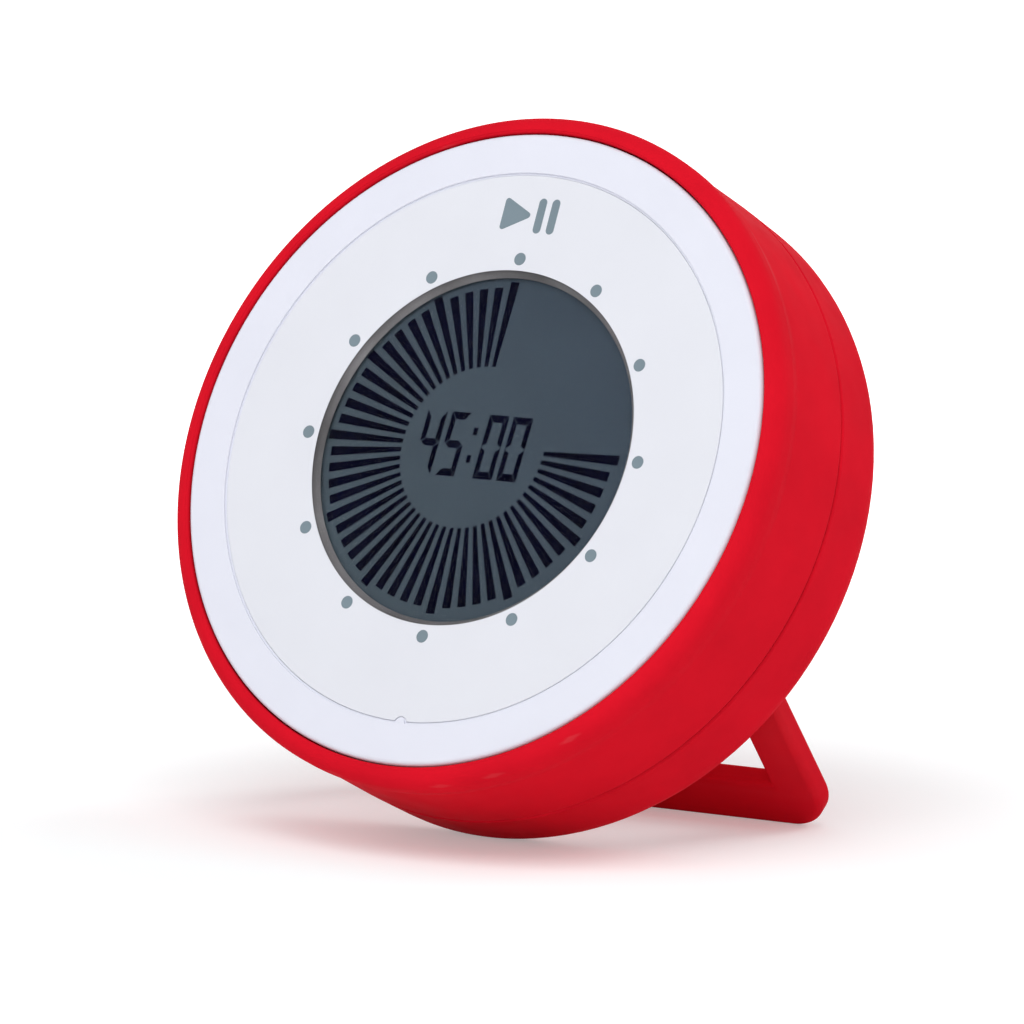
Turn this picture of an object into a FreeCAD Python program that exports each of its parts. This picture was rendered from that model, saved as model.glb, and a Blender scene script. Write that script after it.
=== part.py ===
"""Visual countdown timer: a round case that leans back on a fold-out stand, with a twist ring that sets the time.

Everything but the stand is laid out in the face frame: X to the right, Y up along the face, Z out of the face
towards the user, with the middle of the dial's surface at zero. place() then leans it back and stands it on the
ground. Millimetres and degrees.
"""
import FreeCAD, Part
import math
import os
from FreeCAD import Placement, Rotation, Vector

# Stance
LEAN = 25.46
STAND_ANGLE = 52.0

# Case, radii from the face axis and heights in the face frame
LIP_R = 45.0
LIP_TOP = 0.25
LIP_ROUND = 2.2
LIP_INNER_R = 42.5
LIP_INNER_ROUND = 0.5
LIP_FOOT = -3.2
WAIST_Z = -4.6
WAIST_R = 44.7
SEAM_R = 44.6
SEAM_Z = -16.5
SEAM_GAP = 0.3
BACK_R = 44.35
BACK_Z = -28.7
BACK_ROUND = 4.7
WALL = 2.2
SPIGOT_R = 42.1
SPIGOT_IN_R = 40.6
SPIGOT_TOP = -15.0
SPIGOT_LOW = -18.0
CHAMFER = 0.25
RUNNING_GAP = 0.08

# Face
BEZEL_R = 42.3
BEZEL_TOP = 0.15
BEZEL_ROUND = 0.6
BEZEL_UNDER = -1.9
PLATE_R = 36.65
PLATE_GAP = 0.3
PLATE_SKIN = 1.0
FLANGE_R = 37.8
KEY_R = 0.7
NOTCH_R = 0.95
WINDOW_R = 23.8
TRIM_WALL = 0.5
LENS_TOP = -0.35
PUSHER_Y = 31.0
PUSHER_R = 2.0
FLANGE_TOP = -2.2
FLANGE_UNDER = -3.0
FLANGE_IN_R = 35.2
ROCKER_Y = -37.2
ROCKER_R = 0.4
ROCKER_HALF = 3.6
GLUE_RIB = (38.7, 39.3)
GLUE_RIB_DEPTH = 1.2

# Display and circuit board
LCD_TOP = -1.6
LCD_HALF_X = 25.2
LCD_HALF_Y = 26.0
LCD_REAR_HALF_Y = 22.6
GLASS = 1.0
LCD_CORNER_R = 33.6
ZEBRA_HALF_X = 20.0
ZEBRA_Y = 24.3
ZEBRA_HALF_Y = 1.1
FRAME_HALF_X = 30.2
FRAME_HALF_Y = 27.6
FRAME_CORNER_R = 34.7
BOARD_R = 36.5
BOARD_TOP = -6.2
BOARD_UNDER = -7.8
BOARD_SCREW_R = 34.2
FRAME_SCREW_X = 27.8
FRAME_SCREW_Y = 12.0

# Drum and gears
LAND_R = 39.9
LAND_TOP = -2.2
LAND_LOW = -4.2
RING_WALL_R = 41.4
GEAR_SEAT_R = 42.2
DRUM_R = 38.1
SHELF_R = 32.5
LAND_END = -9.6
REAR_DRUM_R = 38.5
REAR_DRUM_IN_R = 36.2
DRUM_END = -15.9
MODULE = 1.0
RING_TEETH = 80
PINION_TEETH = 16
PRESSURE_ANGLE = 20.0
BACKLASH = 0.12
RING_TIP_R = 39.2
RING_ROOT_R = 41.25
PINION_TIP_R = 8.95
PINION_ROOT_R = 6.75
GEAR_TOP = -10.4
GEAR_END = -14.6
SHAFT_R = 1.5

# Case screws, four columns
CASE_SCREWS = [(30.5, 17.5), (-30.5, 17.5), (24.5, -25.2), (-24.5, -25.2)]
COLUMN_R = 3.0
COLUMN_SPLIT = -22.0
CASE_SHANK_R = 0.95
CASE_SHANK = 13.5
CASE_HEAD_R = 2.3
CASE_SINK_R = 2.6
CASE_SINK = 2.6
SMALL_SHANK_R = 0.7

# Stand
STAND_HALF = 32.5
LEG_WIDTH = 6.7
BAR_WIDTH = 7.6
STAND_THICK = 3.2
STAND_CORNER = 6.0
STAND_EDGE = 0.9
HINGE_Y = -16.5
HINGE_Z = BACK_Z + STAND_THICK / 2
PIN_R = 0.8
TRENCH_GAP = 0.35
TRENCH_DEPTH = 3.5
TRENCH_FLOOR = 1.4

# Battery bay, for two AAA cells side by side
CELL_R = 5.25
CELL_LENGTH = 44.5
CELL_PITCH = 10.6
CELL_TOP_Y = -0.8
BAY_HALF_X = 24.2
BAY_TOP_Y = 4.6
BAY_LOW_Y = -16.85
BAY_FLOOR_Z = -16.3
DOOR_LOW_Y = -21.0
DOOR_THICK = 1.5
DOOR_GAP = 0.2
DOOR_SCREW_Y = -19.0

# Speaker, volume slide and magnets
SPEAKER_Y = 27.5
SPEAKER_R = 8.8
SLIDE_Y = -31.0
SLIDE_TRAVEL = 2.0
MAGNETS = [(14.5, -31.0), (-14.5, -31.0), (20.5, 27.0), (-20.5, 27.0)]
MAGNET_R = 5.0
MAGNET_THICK = 2.0

LEAN_SIN = math.sin(math.radians(LEAN))
LEAN_COS = math.cos(math.radians(LEAN))
ROUND_R = BACK_R - BACK_ROUND
ROUND_DEPTH = -BACK_Z - BACK_ROUND
FACE_HEIGHT = ROUND_R * LEAN_COS + ROUND_DEPTH * LEAN_SIN + BACK_ROUND
FRONT_REACH = (LIP_R - LIP_ROUND) * LEAN_SIN + (LIP_TOP - LIP_ROUND) * LEAN_COS + LIP_ROUND
BACK_REACH = ROUND_R * LEAN_SIN + ROUND_DEPTH * LEAN_COS + BACK_ROUND
FACE_SETBACK = (FRONT_REACH - BACK_REACH) / 2


def place(shape):
    """Leans a shape back from the face frame and stands it on the ground."""
    out = shape.copy()
    stance = Placement(Vector(0, FACE_SETBACK, FACE_HEIGHT), Rotation(Vector(1, 0, 0), 90 - LEAN))
    out.Placement = stance.multiply(out.Placement)
    return out


def disc(r, z_low, z_high, x=0.0, y=0.0):
    return Part.makeCylinder(r, z_high - z_low, Vector(x, y, z_low))


def ring(r_in, r_out, z_low, z_high, x=0.0, y=0.0):
    return disc(r_out, z_low, z_high, x, y).cut(disc(r_in, z_low - 1, z_high + 1, x, y))


def block(x_low, x_high, y_low, y_high, z_low, z_high):
    size = (x_high - x_low, y_high - y_low, z_high - z_low)
    return Part.makeBox(*size, Vector(x_low, y_low, z_low))


def rod(r, x_low, x_high, y, z):
    return Part.makeCylinder(r, x_high - x_low, Vector(x_low, y, z), Vector(1, 0, 0))


def joined(shapes):
    first = shapes[0]
    return first.multiFuse(shapes[1:]).removeSplitter() if len(shapes) > 1 else first


def turned(*steps):
    """Revolves a closed profile of (radius, height) corners about the face axis.

    A step with four values is an arc through its first pair to its second.
    """
    points = [Vector(s[-2], 0, s[-1]) for s in steps]
    edges = []
    for i, step in enumerate(steps):
        start = points[i - 1]
        if len(step) == 4:
            edges.append(Part.Arc(start, Vector(step[0], 0, step[1]), points[i]).toShape())
        else:
            edges.append(Part.makeLine(start, points[i]))
    edges = edges[1:] + edges[:1]
    return Part.Face(Part.Wire(edges)).revolve(Vector(0, 0, 0), Vector(0, 0, 1), 360)


def quarter(r, z, radius, side_r, side_z):
    """The middle point of a quarter round about (r, z) that bulges towards the given sides."""
    reach = radius * math.sqrt(0.5)
    return r + side_r * reach, z + side_z * reach


def tooth_angle(r, base_r, pitch_r, half_at_pitch):
    """Half the angle that a tooth takes at radius r."""
    def involute(a):
        return math.tan(a) - a
    at_r = math.acos(min(1.0, base_r / r))
    at_pitch = math.acos(base_r / pitch_r)
    return half_at_pitch + involute(at_pitch) - involute(at_r)


def gear_prism(teeth, root_r, tip_r, slack, z_low, z_high):
    """An outside-toothed prism with involute flanks; one tooth is centred on +X."""
    pitch_r = MODULE * teeth / 2
    base_r = pitch_r * math.cos(math.radians(PRESSURE_ANGLE))
    half = math.pi / (2 * teeth) - slack / (2 * pitch_r)
    flank_start = max(root_r, base_r)
    radii = [flank_start, (flank_start + tip_r) / 2, tip_r]
    angles = [tooth_angle(r, base_r, pitch_r, half) for r in radii]
    step = 2 * math.pi / teeth

    def at(r, angle):
        return Vector(r * math.cos(angle), r * math.sin(angle), z_low)

    edges = []
    for i in range(teeth):
        mid = i * step
        rise = [at(r, mid - a) for r, a in zip(radii, angles)]
        fall = [at(r, mid + a) for r, a in zip(reversed(radii), reversed(angles))]
        if root_r < base_r:
            edges.append(Part.makeLine(at(root_r, mid - angles[0]), rise[0]))
        edges.append(Part.Arc(*rise).toShape())
        edges.append(Part.Arc(rise[2], at(tip_r, mid), fall[0]).toShape())
        edges.append(Part.Arc(*fall).toShape())
        if root_r < base_r:
            edges.append(Part.makeLine(fall[2], at(root_r, mid + angles[0])))
        foot = at(root_r, mid + angles[0])
        next_foot = at(root_r, mid + step - angles[0])
        edges.append(Part.Arc(foot, at(root_r, mid + step / 2), next_foot).toShape())
    return Part.Face(Part.Wire(edges)).extrude(Vector(0, 0, z_high - z_low))


def rounded_block(half_x, y_low, y_high, z_low, z_high, corner):
    body = block(-half_x, half_x, y_low, y_high, z_low, z_high)
    upright = [e for e in body.Edges if abs(e.Vertexes[0].Z - e.Vertexes[1].Z) > 0.1]
    return body.makeFillet(corner, upright)


# Turning and fixed rings

def make_twist_ring():
    crown = LIP_R - LIP_ROUND
    inner = LIP_INNER_R + LIP_INNER_ROUND
    low = SEAM_Z + SEAM_GAP / 2
    return turned(
        (crown, LIP_TOP),
        (*quarter(crown, LIP_TOP - LIP_ROUND, LIP_ROUND, 1, 1), LIP_R, LIP_TOP - LIP_ROUND),
        (LIP_R, LIP_FOOT),
        (WAIST_R, WAIST_Z),
        (SEAM_R, low + CHAMFER),
        (SEAM_R - CHAMFER, low),
        (GEAR_SEAT_R, low),
        (GEAR_SEAT_R, GEAR_TOP),
        (RING_WALL_R, GEAR_TOP),
        (RING_WALL_R, LAND_LOW),
        (LAND_R + RUNNING_GAP, LAND_LOW),
        (LAND_R + RUNNING_GAP, LAND_TOP),
        (LIP_INNER_R, LAND_TOP),
        (LIP_INNER_R, LIP_TOP - LIP_INNER_ROUND),
        (*quarter(inner, LIP_TOP - LIP_INNER_ROUND, LIP_INNER_ROUND, -1, 1), inner, LIP_TOP),
    )


def make_ring_gear():
    """The toothed ring that is seated inside the twist ring and turns with it."""
    body = ring(RING_TIP_R - 0.2, GEAR_SEAT_R - 0.05, GEAR_END, GEAR_TOP - 0.05)
    return body.cut(gear_prism(RING_TEETH, RING_TIP_R, RING_ROOT_R, -BACKLASH / 2, GEAR_END - 0.1, GEAR_TOP + 0.1))


def make_front_bezel():
    inner = PLATE_R + PLATE_GAP
    top_round = BEZEL_R - BEZEL_ROUND
    body = turned(
        (inner + 0.15, BEZEL_TOP),
        (top_round, BEZEL_TOP),
        (*quarter(top_round, BEZEL_TOP - BEZEL_ROUND, BEZEL_ROUND, 1, 1), BEZEL_R, BEZEL_TOP - BEZEL_ROUND),
        (BEZEL_R, BEZEL_UNDER),
        (GLUE_RIB[1], BEZEL_UNDER),
        (GLUE_RIB[1], BEZEL_UNDER - GLUE_RIB_DEPTH),
        (GLUE_RIB[0], BEZEL_UNDER - GLUE_RIB_DEPTH),
        (GLUE_RIB[0], BEZEL_UNDER),
        (inner, BEZEL_UNDER),
        (inner, BEZEL_TOP - 0.15),
    )
    key = disc(KEY_R, BEZEL_UNDER, BEZEL_TOP - 0.1, 0, -inner)
    return joined([body, key.cut(ring(inner + 1, inner + 3, BEZEL_UNDER - 1, 2))])


def make_chassis():
    drum = turned(
        (DRUM_R, BEZEL_UNDER),
        (LAND_R, BEZEL_UNDER),
        (LAND_R, LAND_END),
        (REAR_DRUM_R, LAND_END),
        (REAR_DRUM_R, DRUM_END),
        (REAR_DRUM_IN_R, DRUM_END),
        (REAR_DRUM_IN_R, LAND_END),
        (SHELF_R, LAND_END),
        (SHELF_R, BOARD_UNDER),
        (DRUM_R, BOARD_UNDER),
    )
    columns = [disc(COLUMN_R, COLUMN_SPLIT, LAND_END + 0.5, x, y) for x, y in CASE_SCREWS]
    posts = [disc(2.2, -13.0, LAND_END + 0.5, x, y) for x, y in board_screw_places()]
    ledge = block(-6, 6, -DRUM_R - 0.5, ROCKER_Y + 0.7, BOARD_UNDER - 0.5, FLANGE_UNDER - 0.05)
    body = joined([drum, *columns, *posts, ledge])
    cuts = [
        rod(ROCKER_R + 0.05, -ROCKER_HALF - 0.2, ROCKER_HALF + 0.2, ROCKER_Y, FLANGE_UNDER),
        ring(GLUE_RIB[0] - 0.05, GLUE_RIB[1] + 0.05, BEZEL_UNDER - GLUE_RIB_DEPTH - 0.1, BEZEL_UNDER + 1),
        block(-5.6, 5.6, -37.6, gear_axis_y() + 8, LAND_END - 1, BOARD_UNDER + 0.1),
        disc(PINION_TIP_R + 0.6, -17, LAND_END - 0.1, 0, gear_axis_y()),
        *[disc(CASE_SHANK_R, -30, -11.0, x, y) for x, y in CASE_SCREWS],
        *[disc(SMALL_SHANK_R, -12.6, 0, x, y) for x, y in board_screw_places()],
    ]
    return body.cut(cuts)


def board_screw_places():
    angles = [math.radians(a) for a in (60, 180, 300)]
    return [(BOARD_SCREW_R * math.cos(a), BOARD_SCREW_R * math.sin(a)) for a in angles]


# The pressed face

def make_face_plate():
    edge = 0.25
    body = turned(
        (WINDOW_R, 0),
        (PLATE_R - edge, 0),
        (*quarter(PLATE_R - edge, -edge, edge, 1, 1), PLATE_R, -edge),
        (PLATE_R, FLANGE_TOP),
        (FLANGE_R, FLANGE_TOP),
        (FLANGE_R, FLANGE_UNDER),
        (FLANGE_IN_R, FLANGE_UNDER),
        (FLANGE_IN_R, -PLATE_SKIN),
        (WINDOW_R, -PLATE_SKIN),
    )
    pusher = disc(PUSHER_R, -1.75, -PLATE_SKIN + 0.2, 0, PUSHER_Y)
    rocker = rod(ROCKER_R, -ROCKER_HALF, ROCKER_HALF, ROCKER_Y, FLANGE_UNDER)
    notch = disc(NOTCH_R, FLANGE_TOP, 1, 0, -PLATE_R - PLATE_GAP)
    return joined([body, pusher, rocker]).cut(notch)


def make_window_trim():
    inner = WINDOW_R - TRIM_WALL
    return turned(
        (WINDOW_R - 0.15, -0.05),
        (WINDOW_R, -0.2),
        (WINDOW_R, -PLATE_SKIN),
        (inner, -PLATE_SKIN),
        (inner, LENS_TOP),
        (inner + 0.25, -0.05),
    )


def make_window_lens():
    return disc(WINDOW_R - TRIM_WALL, -PLATE_SKIN, LENS_TOP)


# Display and electronics

def make_lcd_panel():
    front = block(-LCD_HALF_X, LCD_HALF_X, -LCD_HALF_Y, LCD_HALF_Y, LCD_TOP - GLASS, LCD_TOP)
    rear = block(-LCD_HALF_X, LCD_HALF_X, -LCD_REAR_HALF_Y, LCD_REAR_HALF_Y, LCD_TOP - 2 * GLASS, LCD_TOP)
    return joined([front, rear]).common(disc(LCD_CORNER_R, -5, 0))


def make_lcd_frame():
    slack = 0.05
    shelf = LCD_TOP - 2 * GLASS
    body = rounded_block(FRAME_HALF_X, -FRAME_HALF_Y, FRAME_HALF_Y, BOARD_TOP, LCD_TOP, 3.0)
    body = body.common(disc(FRAME_CORNER_R, -10, 0))
    half_x = LCD_HALF_X + slack
    half_y = LCD_HALF_Y + slack
    rear_y = LCD_REAR_HALF_Y + slack
    cuts = [
        block(-half_x, half_x, -half_y, half_y, LCD_TOP - GLASS, 0).common(disc(LCD_CORNER_R + slack, -9, 1)),
        block(-half_x, half_x, -rear_y, rear_y, shelf, 0),
        block(-23, 23, -20.5, 20.5, BOARD_TOP - 1, shelf - 1.2),
    ]
    for side in (-1, 1):
        y = side * ZEBRA_Y
        half = ZEBRA_HALF_Y + slack
        cuts.append(block(-ZEBRA_HALF_X - slack, ZEBRA_HALF_X + slack, y - half, y + half, BOARD_TOP - 1, 0))
    cuts += [disc(SMALL_SHANK_R, BOARD_TOP - 1, -3.0, x, y) for x, y in frame_screw_places()]
    return body.cut(cuts)


def frame_screw_places():
    return [(sx * FRAME_SCREW_X, sy * FRAME_SCREW_Y) for sx in (-1, 1) for sy in (-1, 1)]


def make_zebra_strip(side):
    y = side * ZEBRA_Y
    top = LCD_TOP - GLASS
    return block(-ZEBRA_HALF_X, ZEBRA_HALF_X, y - ZEBRA_HALF_Y, y + ZEBRA_HALF_Y, BOARD_TOP, top)


def make_main_board():
    body = disc(BOARD_R, BOARD_UNDER, BOARD_TOP)
    holes = [disc(1.1, -9, 0, x, y) for x, y in board_screw_places() + frame_screw_places()]
    return body.cut(holes)


def make_chip():
    return rounded_block(5.0, 3.0, 13.0, BOARD_UNDER - 1.4, BOARD_UNDER, 0.4)


def make_screws(places, head_z, head_r, head_height, shank_r, length, towards):
    """Pan-head screws with crossed slots; towards is the Z direction that the shank points in."""
    screws = []
    for x, y in places:
        axis = Vector(0, 0, towards)
        seat = Vector(x, y, head_z)
        head = Part.makeCylinder(head_r, head_height, seat, axis * -1)
        shank = Part.makeCylinder(shank_r, length, seat - axis * 0.1, axis)
        slot_low = min(head_z - towards * head_height, head_z - towards * head_height * 0.45)
        slot_high = max(head_z - towards * head_height, head_z - towards * head_height * 0.45)
        reach = head_r * 0.6
        cross = [
            block(x - reach, x + reach, y - 0.2, y + 0.2, slot_low, slot_high),
            block(x - 0.2, x + 0.2, y - reach, y + reach, slot_low, slot_high),
        ]
        screws.append(joined([head, shank]).cut(cross))
    return Part.makeCompound(screws)


def make_tact_switch():
    body = block(-3, 3, PUSHER_Y - 3, PUSHER_Y + 3, BOARD_TOP, BOARD_TOP + 3.4)
    return body.cut(disc(1.75, BOARD_TOP + 1.0, 0, 0, PUSHER_Y))


def make_switch_plunger():
    return disc(1.7, BOARD_TOP + 1.6, -1.85, 0, PUSHER_Y)


def gear_axis_y():
    return -MODULE * (RING_TEETH - PINION_TEETH) / 2


def make_drive_pinion():
    low = GEAR_END + 0.2
    high = GEAR_TOP - 0.2
    gear = gear_prism(PINION_TEETH, PINION_ROOT_R, PINION_TIP_R, BACKLASH / 2, low, high)
    bore = disc(SHAFT_R, low - 1, high + 1).cut(block(-2, 2, 1.0, 3, low - 2, high + 2))
    gear = gear.cut(bore)
    gear.translate(Vector(0, gear_axis_y(), 0))
    return gear


def make_encoder_shaft():
    low = GEAR_END + 0.2
    round_part = disc(SHAFT_R, low, -8.6)
    shaft = round_part.cut(block(-2, 2, 1.0, 3, low - 1, GEAR_TOP - 0.2))
    shaft.translate(Vector(0, gear_axis_y(), 0))
    return shaft


def make_encoder_body():
    y = gear_axis_y()
    body = block(-4.8, 4.8, y - 4.4, y + 4.8, BOARD_UNDER - 2.4, BOARD_UNDER)
    return body.cut(disc(SHAFT_R + 0.05, BOARD_UNDER - 4, -8.4, 0, y))


# Rear case

def make_rear_case():
    inner_r = BACK_R - WALL
    inner_round = BACK_ROUND - WALL
    floor_z = BACK_Z + WALL
    seam = SEAM_Z - SEAM_GAP / 2
    shell = turned(
        (0, BACK_Z),
        (ROUND_R, BACK_Z),
        (*quarter(ROUND_R, BACK_Z + BACK_ROUND, BACK_ROUND, 1, -1), BACK_R, BACK_Z + BACK_ROUND),
        (SEAM_R, seam - CHAMFER),
        (SEAM_R - CHAMFER, seam),
        (SPIGOT_R, seam),
        (SPIGOT_R, SPIGOT_TOP),
        (SPIGOT_IN_R, SPIGOT_TOP),
        (SPIGOT_IN_R, SPIGOT_LOW),
        (inner_r, -19.5),
        (inner_r, floor_z + inner_round),
        (*quarter(ROUND_R, floor_z + inner_round, inner_round, 1, -1), ROUND_R, floor_z),
        (0, floor_z),
    )
    hidden_r = BACK_R - 0.6
    inside = turned(
        (0, BACK_Z),
        (ROUND_R, BACK_Z),
        (hidden_r, BACK_Z + BACK_ROUND),
        (hidden_r, SPIGOT_TOP),
        (0, SPIGOT_TOP),
    )
    added = [
        stand_profile(TRENCH_GAP + TRENCH_FLOOR, BACK_Z, BACK_Z + TRENCH_DEPTH + TRENCH_FLOOR),
        block(-BAY_HALF_X - 1.2, BAY_HALF_X + 1.2, BAY_LOW_Y - 1.4, BAY_TOP_Y + 1.3, BACK_Z, BAY_FLOOR_Z + 1.2),
        block(-9, 9, DOOR_LOW_Y - 1.2, BAY_LOW_Y, BACK_Z, BACK_Z + 6.5),
        *[disc(COLUMN_R + 0.2, BACK_Z, COLUMN_SPLIT, x, y) for x, y in CASE_SCREWS],
        *[disc(MAGNET_R + 1.2, BACK_Z, BACK_Z + MAGNET_THICK + 0.9, x, y) for x, y in MAGNETS],
        ring(SPEAKER_R + 0.1, SPEAKER_R + 1.3, BACK_Z + 1, BACK_Z + 5.5, 0, SPEAKER_Y),
    ]
    for side in (-1, 1):
        low = min(side * (STAND_HALF + 0.3), side * (STAND_HALF + 3.4))
        high = max(side * (STAND_HALF + 0.3), side * (STAND_HALF + 3.4))
        added.append(block(low, high, HINGE_Y - 3, HINGE_Y + 3, BACK_Z, BACK_Z + TRENCH_DEPTH + TRENCH_FLOOR))
    body = joined([shell, joined(added).common(inside)])
    cuts = [
        stand_profile(TRENCH_GAP, BACK_Z - 1, BACK_Z + TRENCH_DEPTH),
        block(-BAY_HALF_X, BAY_HALF_X, BAY_LOW_Y, BAY_TOP_Y, BACK_Z - 1, BAY_FLOOR_Z),
        door_outline(0.0, BACK_Z - 1, BACK_Z + DOOR_THICK),
        disc(0.9, BACK_Z, BACK_Z + 6.0, 0, DOOR_SCREW_Y),
        *[disc(1.3, BACK_Z - 1, 0, x, y) for x, y in CASE_SCREWS],
        *[disc(CASE_SINK_R, BACK_Z - 1, BACK_Z + CASE_SINK, x, y) for x, y in CASE_SCREWS],
        *[disc(MAGNET_R, BACK_Z - 1, BACK_Z + MAGNET_THICK, x, y) for x, y in MAGNETS],
        rod(PIN_R, -STAND_HALF - 2.2, -BAY_HALF_X - 0.2, HINGE_Y, HINGE_Z),
        rod(PIN_R, BAY_HALF_X + 0.2, STAND_HALF + 2.2, HINGE_Y, HINGE_Z),
        slide_slot(),
        finger_scoop(),
        *grille_holes(),
    ]
    return body.cut(cuts)


def stand_profile(gap, z_low, z_high):
    """The outline of the folded stand, grown by gap, as a prism between two heights."""
    top = HINGE_Y + stand_length()
    corner = STAND_CORNER + gap
    outer_low = HINGE_Y - STAND_THICK / 2 - 3.4
    outer = rounded_block(STAND_HALF + gap, outer_low - 20, top + gap, z_low, z_high, corner)
    outer = outer.cut(block(-60, 60, outer_low - 30, outer_low - min(gap, 1.5), z_low - 1, z_high + 1))
    inner_x = STAND_HALF - LEG_WIDTH - gap
    inner_top = top - BAR_WIDTH - gap
    return outer.cut(block(-inner_x, inner_x, -60, inner_top, z_low - 1, z_high + 1))


def door_outline(gap, z_low, z_high):
    plate = rounded_block(BAY_HALF_X - gap, BAY_LOW_Y - 0.6 + gap, BAY_TOP_Y - gap, z_low, z_high, 0.8)
    tab = rounded_block(7.0 - gap, DOOR_LOW_Y + gap, BAY_LOW_Y + 2, z_low, z_high, 1.5)
    return joined([plate, tab])


def slide_slot():
    recess = rounded_block(6.5, SLIDE_Y - 3.0, SLIDE_Y + 3.0, BACK_Z - 1, BACK_Z + 0.8, 2.9)
    half = 2.0 + SLIDE_TRAVEL + 0.4
    slot = rounded_block(half, SLIDE_Y - 1.7, SLIDE_Y + 1.7, BACK_Z - 1, BACK_Z + 4, 0.5)
    return joined([recess, slot])


def finger_scoop():
    """A shallow thumb recess above the folded bar."""
    top = HINGE_Y + stand_length()
    ball = Part.makeSphere(9.0, Vector(0, top - 2.5, BACK_Z - 7.4))
    return ball.common(block(-10, 10, top - 1, top + 6, BACK_Z - 1, BACK_Z + 1.6))


def grille_holes():
    holes = [disc(0.75, BACK_Z - 1, BACK_Z + 3, 0, SPEAKER_Y)]
    for count, r in ((6, 2.9), (12, 5.8)):
        for i in range(count):
            a = 2 * math.pi * i / count
            holes.append(disc(0.75, BACK_Z - 1, BACK_Z + 3, r * math.cos(a), SPEAKER_Y + r * math.sin(a)))
    return holes


# Parts in and on the rear case

def make_speaker():
    cone = disc(SPEAKER_R, BACK_Z + WALL, BACK_Z + WALL + 2.6, 0, SPEAKER_Y)
    magnet = disc(5.0, BACK_Z + WALL + 2, BACK_Z + WALL + 4.4, 0, SPEAKER_Y)
    return joined([cone, magnet])


def make_volume_knob():
    plate = block(-5.6, 5.6, SLIDE_Y - 2.6, SLIDE_Y + 2.6, BACK_Z + 2.5, BACK_Z + 3.3)
    thumb = rounded_block(2.0, SLIDE_Y - 1.4, SLIDE_Y + 1.4, BACK_Z + 0.2, BACK_Z + 2.6, 0.4)
    ribs = [block(x - 0.25, x + 0.25, SLIDE_Y - 2, SLIDE_Y + 2, BACK_Z, BACK_Z + 0.5) for x in (-1.3, 0, 1.3)]
    tongue = block(-0.8, 0.8, SLIDE_Y - 0.7, SLIDE_Y + 0.7, BACK_Z + 3.2, BACK_Z + 5.0)
    return joined([plate, thumb, tongue]).cut(ribs)


def make_volume_switch():
    body = block(-5, 5, SLIDE_Y - 2.8, SLIDE_Y + 2.8, BACK_Z + 3.6, BACK_Z + 7.0)
    half = 0.8 + SLIDE_TRAVEL + 0.3
    return body.cut(block(-half, half, SLIDE_Y - 1.0, SLIDE_Y + 1.0, BACK_Z + 3, BACK_Z + 5.6))


def make_volume_board():
    return block(-9, 9, SLIDE_Y - 4.5, SLIDE_Y + 4.5, BACK_Z + 7.0, BACK_Z + 8.0)


def make_magnets():
    return Part.makeCompound([disc(MAGNET_R, BACK_Z, BACK_Z + MAGNET_THICK, x, y) for x, y in MAGNETS])


def make_cell(y, positive):
    """A AAA cell along X; positive is the side that its nub points to."""
    z = BACK_Z + DOOR_THICK + 0.2 + CELL_R
    nub = 0.8
    half = CELL_LENGTH / 2
    can = rod(CELL_R, -half, half - nub, y, z)
    tip = rod(1.9, half - nub - 0.1, half, y, z)
    cell = joined([can, tip])
    if positive < 0:
        cell = cell.mirror(Vector(0, 0, 0), Vector(1, 0, 0))
    return cell


def make_contact(side, y_low, y_high):
    """A spring-steel contact strip against the bay's end wall, with its bowed tongue just off the cell."""
    z_low = BACK_Z + DOOR_THICK + 1.2
    wall_x = side * BAY_HALF_X
    cell_x = side * (CELL_LENGTH / 2 + 0.05)
    strip = block(min(wall_x, wall_x - side * 0.3), max(wall_x, wall_x - side * 0.3), y_low, y_high, z_low, BAY_FLOOR_Z)
    tongues = []
    for y in (CELL_TOP_Y, CELL_TOP_Y - CELL_PITCH):
        if y_low < y < y_high:
            back = wall_x - side * 0.2
            bow = [Vector(back, y - 2, z_low + 0.6), Vector(cell_x, y - 2, z_low + 4.6), Vector(back, y - 2, z_low + 8.6)]
            arc = Part.Arc(*bow).toShape()
            chord = Part.makeLine(bow[2], bow[0])
            tongues.append(Part.Face(Part.Wire([arc, chord])).extrude(Vector(0, 4, 0)))
    return joined([strip, *tongues])


def make_battery_door():
    body = door_outline(DOOR_GAP, BACK_Z, BACK_Z + DOOR_THICK)
    grip = [
        block(-6, 6, y - 0.4, y + 0.4, BACK_Z - 1, BACK_Z + 0.4) for y in (1.0, -0.6, -2.2)
    ]
    sink = disc(1.9, BACK_Z - 1, BACK_Z + 0.8, 0, DOOR_SCREW_Y)
    return body.cut([*grip, sink, disc(1.0, BACK_Z - 1, 0, 0, DOOR_SCREW_Y)])


def make_hinge_pins():
    inner = BAY_HALF_X + 0.2
    outer = STAND_HALF + 2.2
    return Part.makeCompound([
        rod(PIN_R, inner, outer, HINGE_Y, HINGE_Z),
        rod(PIN_R, -outer, -inner, HINGE_Y, HINGE_Z),
    ])


# Stand

def hinge_place():
    """The stand's hinge line in the standing frame, as its Y and Z."""
    y = FACE_SETBACK + HINGE_Y * LEAN_SIN - HINGE_Z * LEAN_COS
    z = FACE_HEIGHT + HINGE_Y * LEAN_COS + HINGE_Z * LEAN_SIN
    return y, z


def stand_length():
    """From the hinge line to the foot's end, so that the rounded foot just meets the ground."""
    slope = math.radians(STAND_ANGLE)
    low_corner = (STAND_THICK / 2 - STAND_EDGE) * math.cos(slope) + STAND_EDGE
    return (hinge_place()[1] - low_corner) / math.sin(slope) + STAND_EDGE


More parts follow.
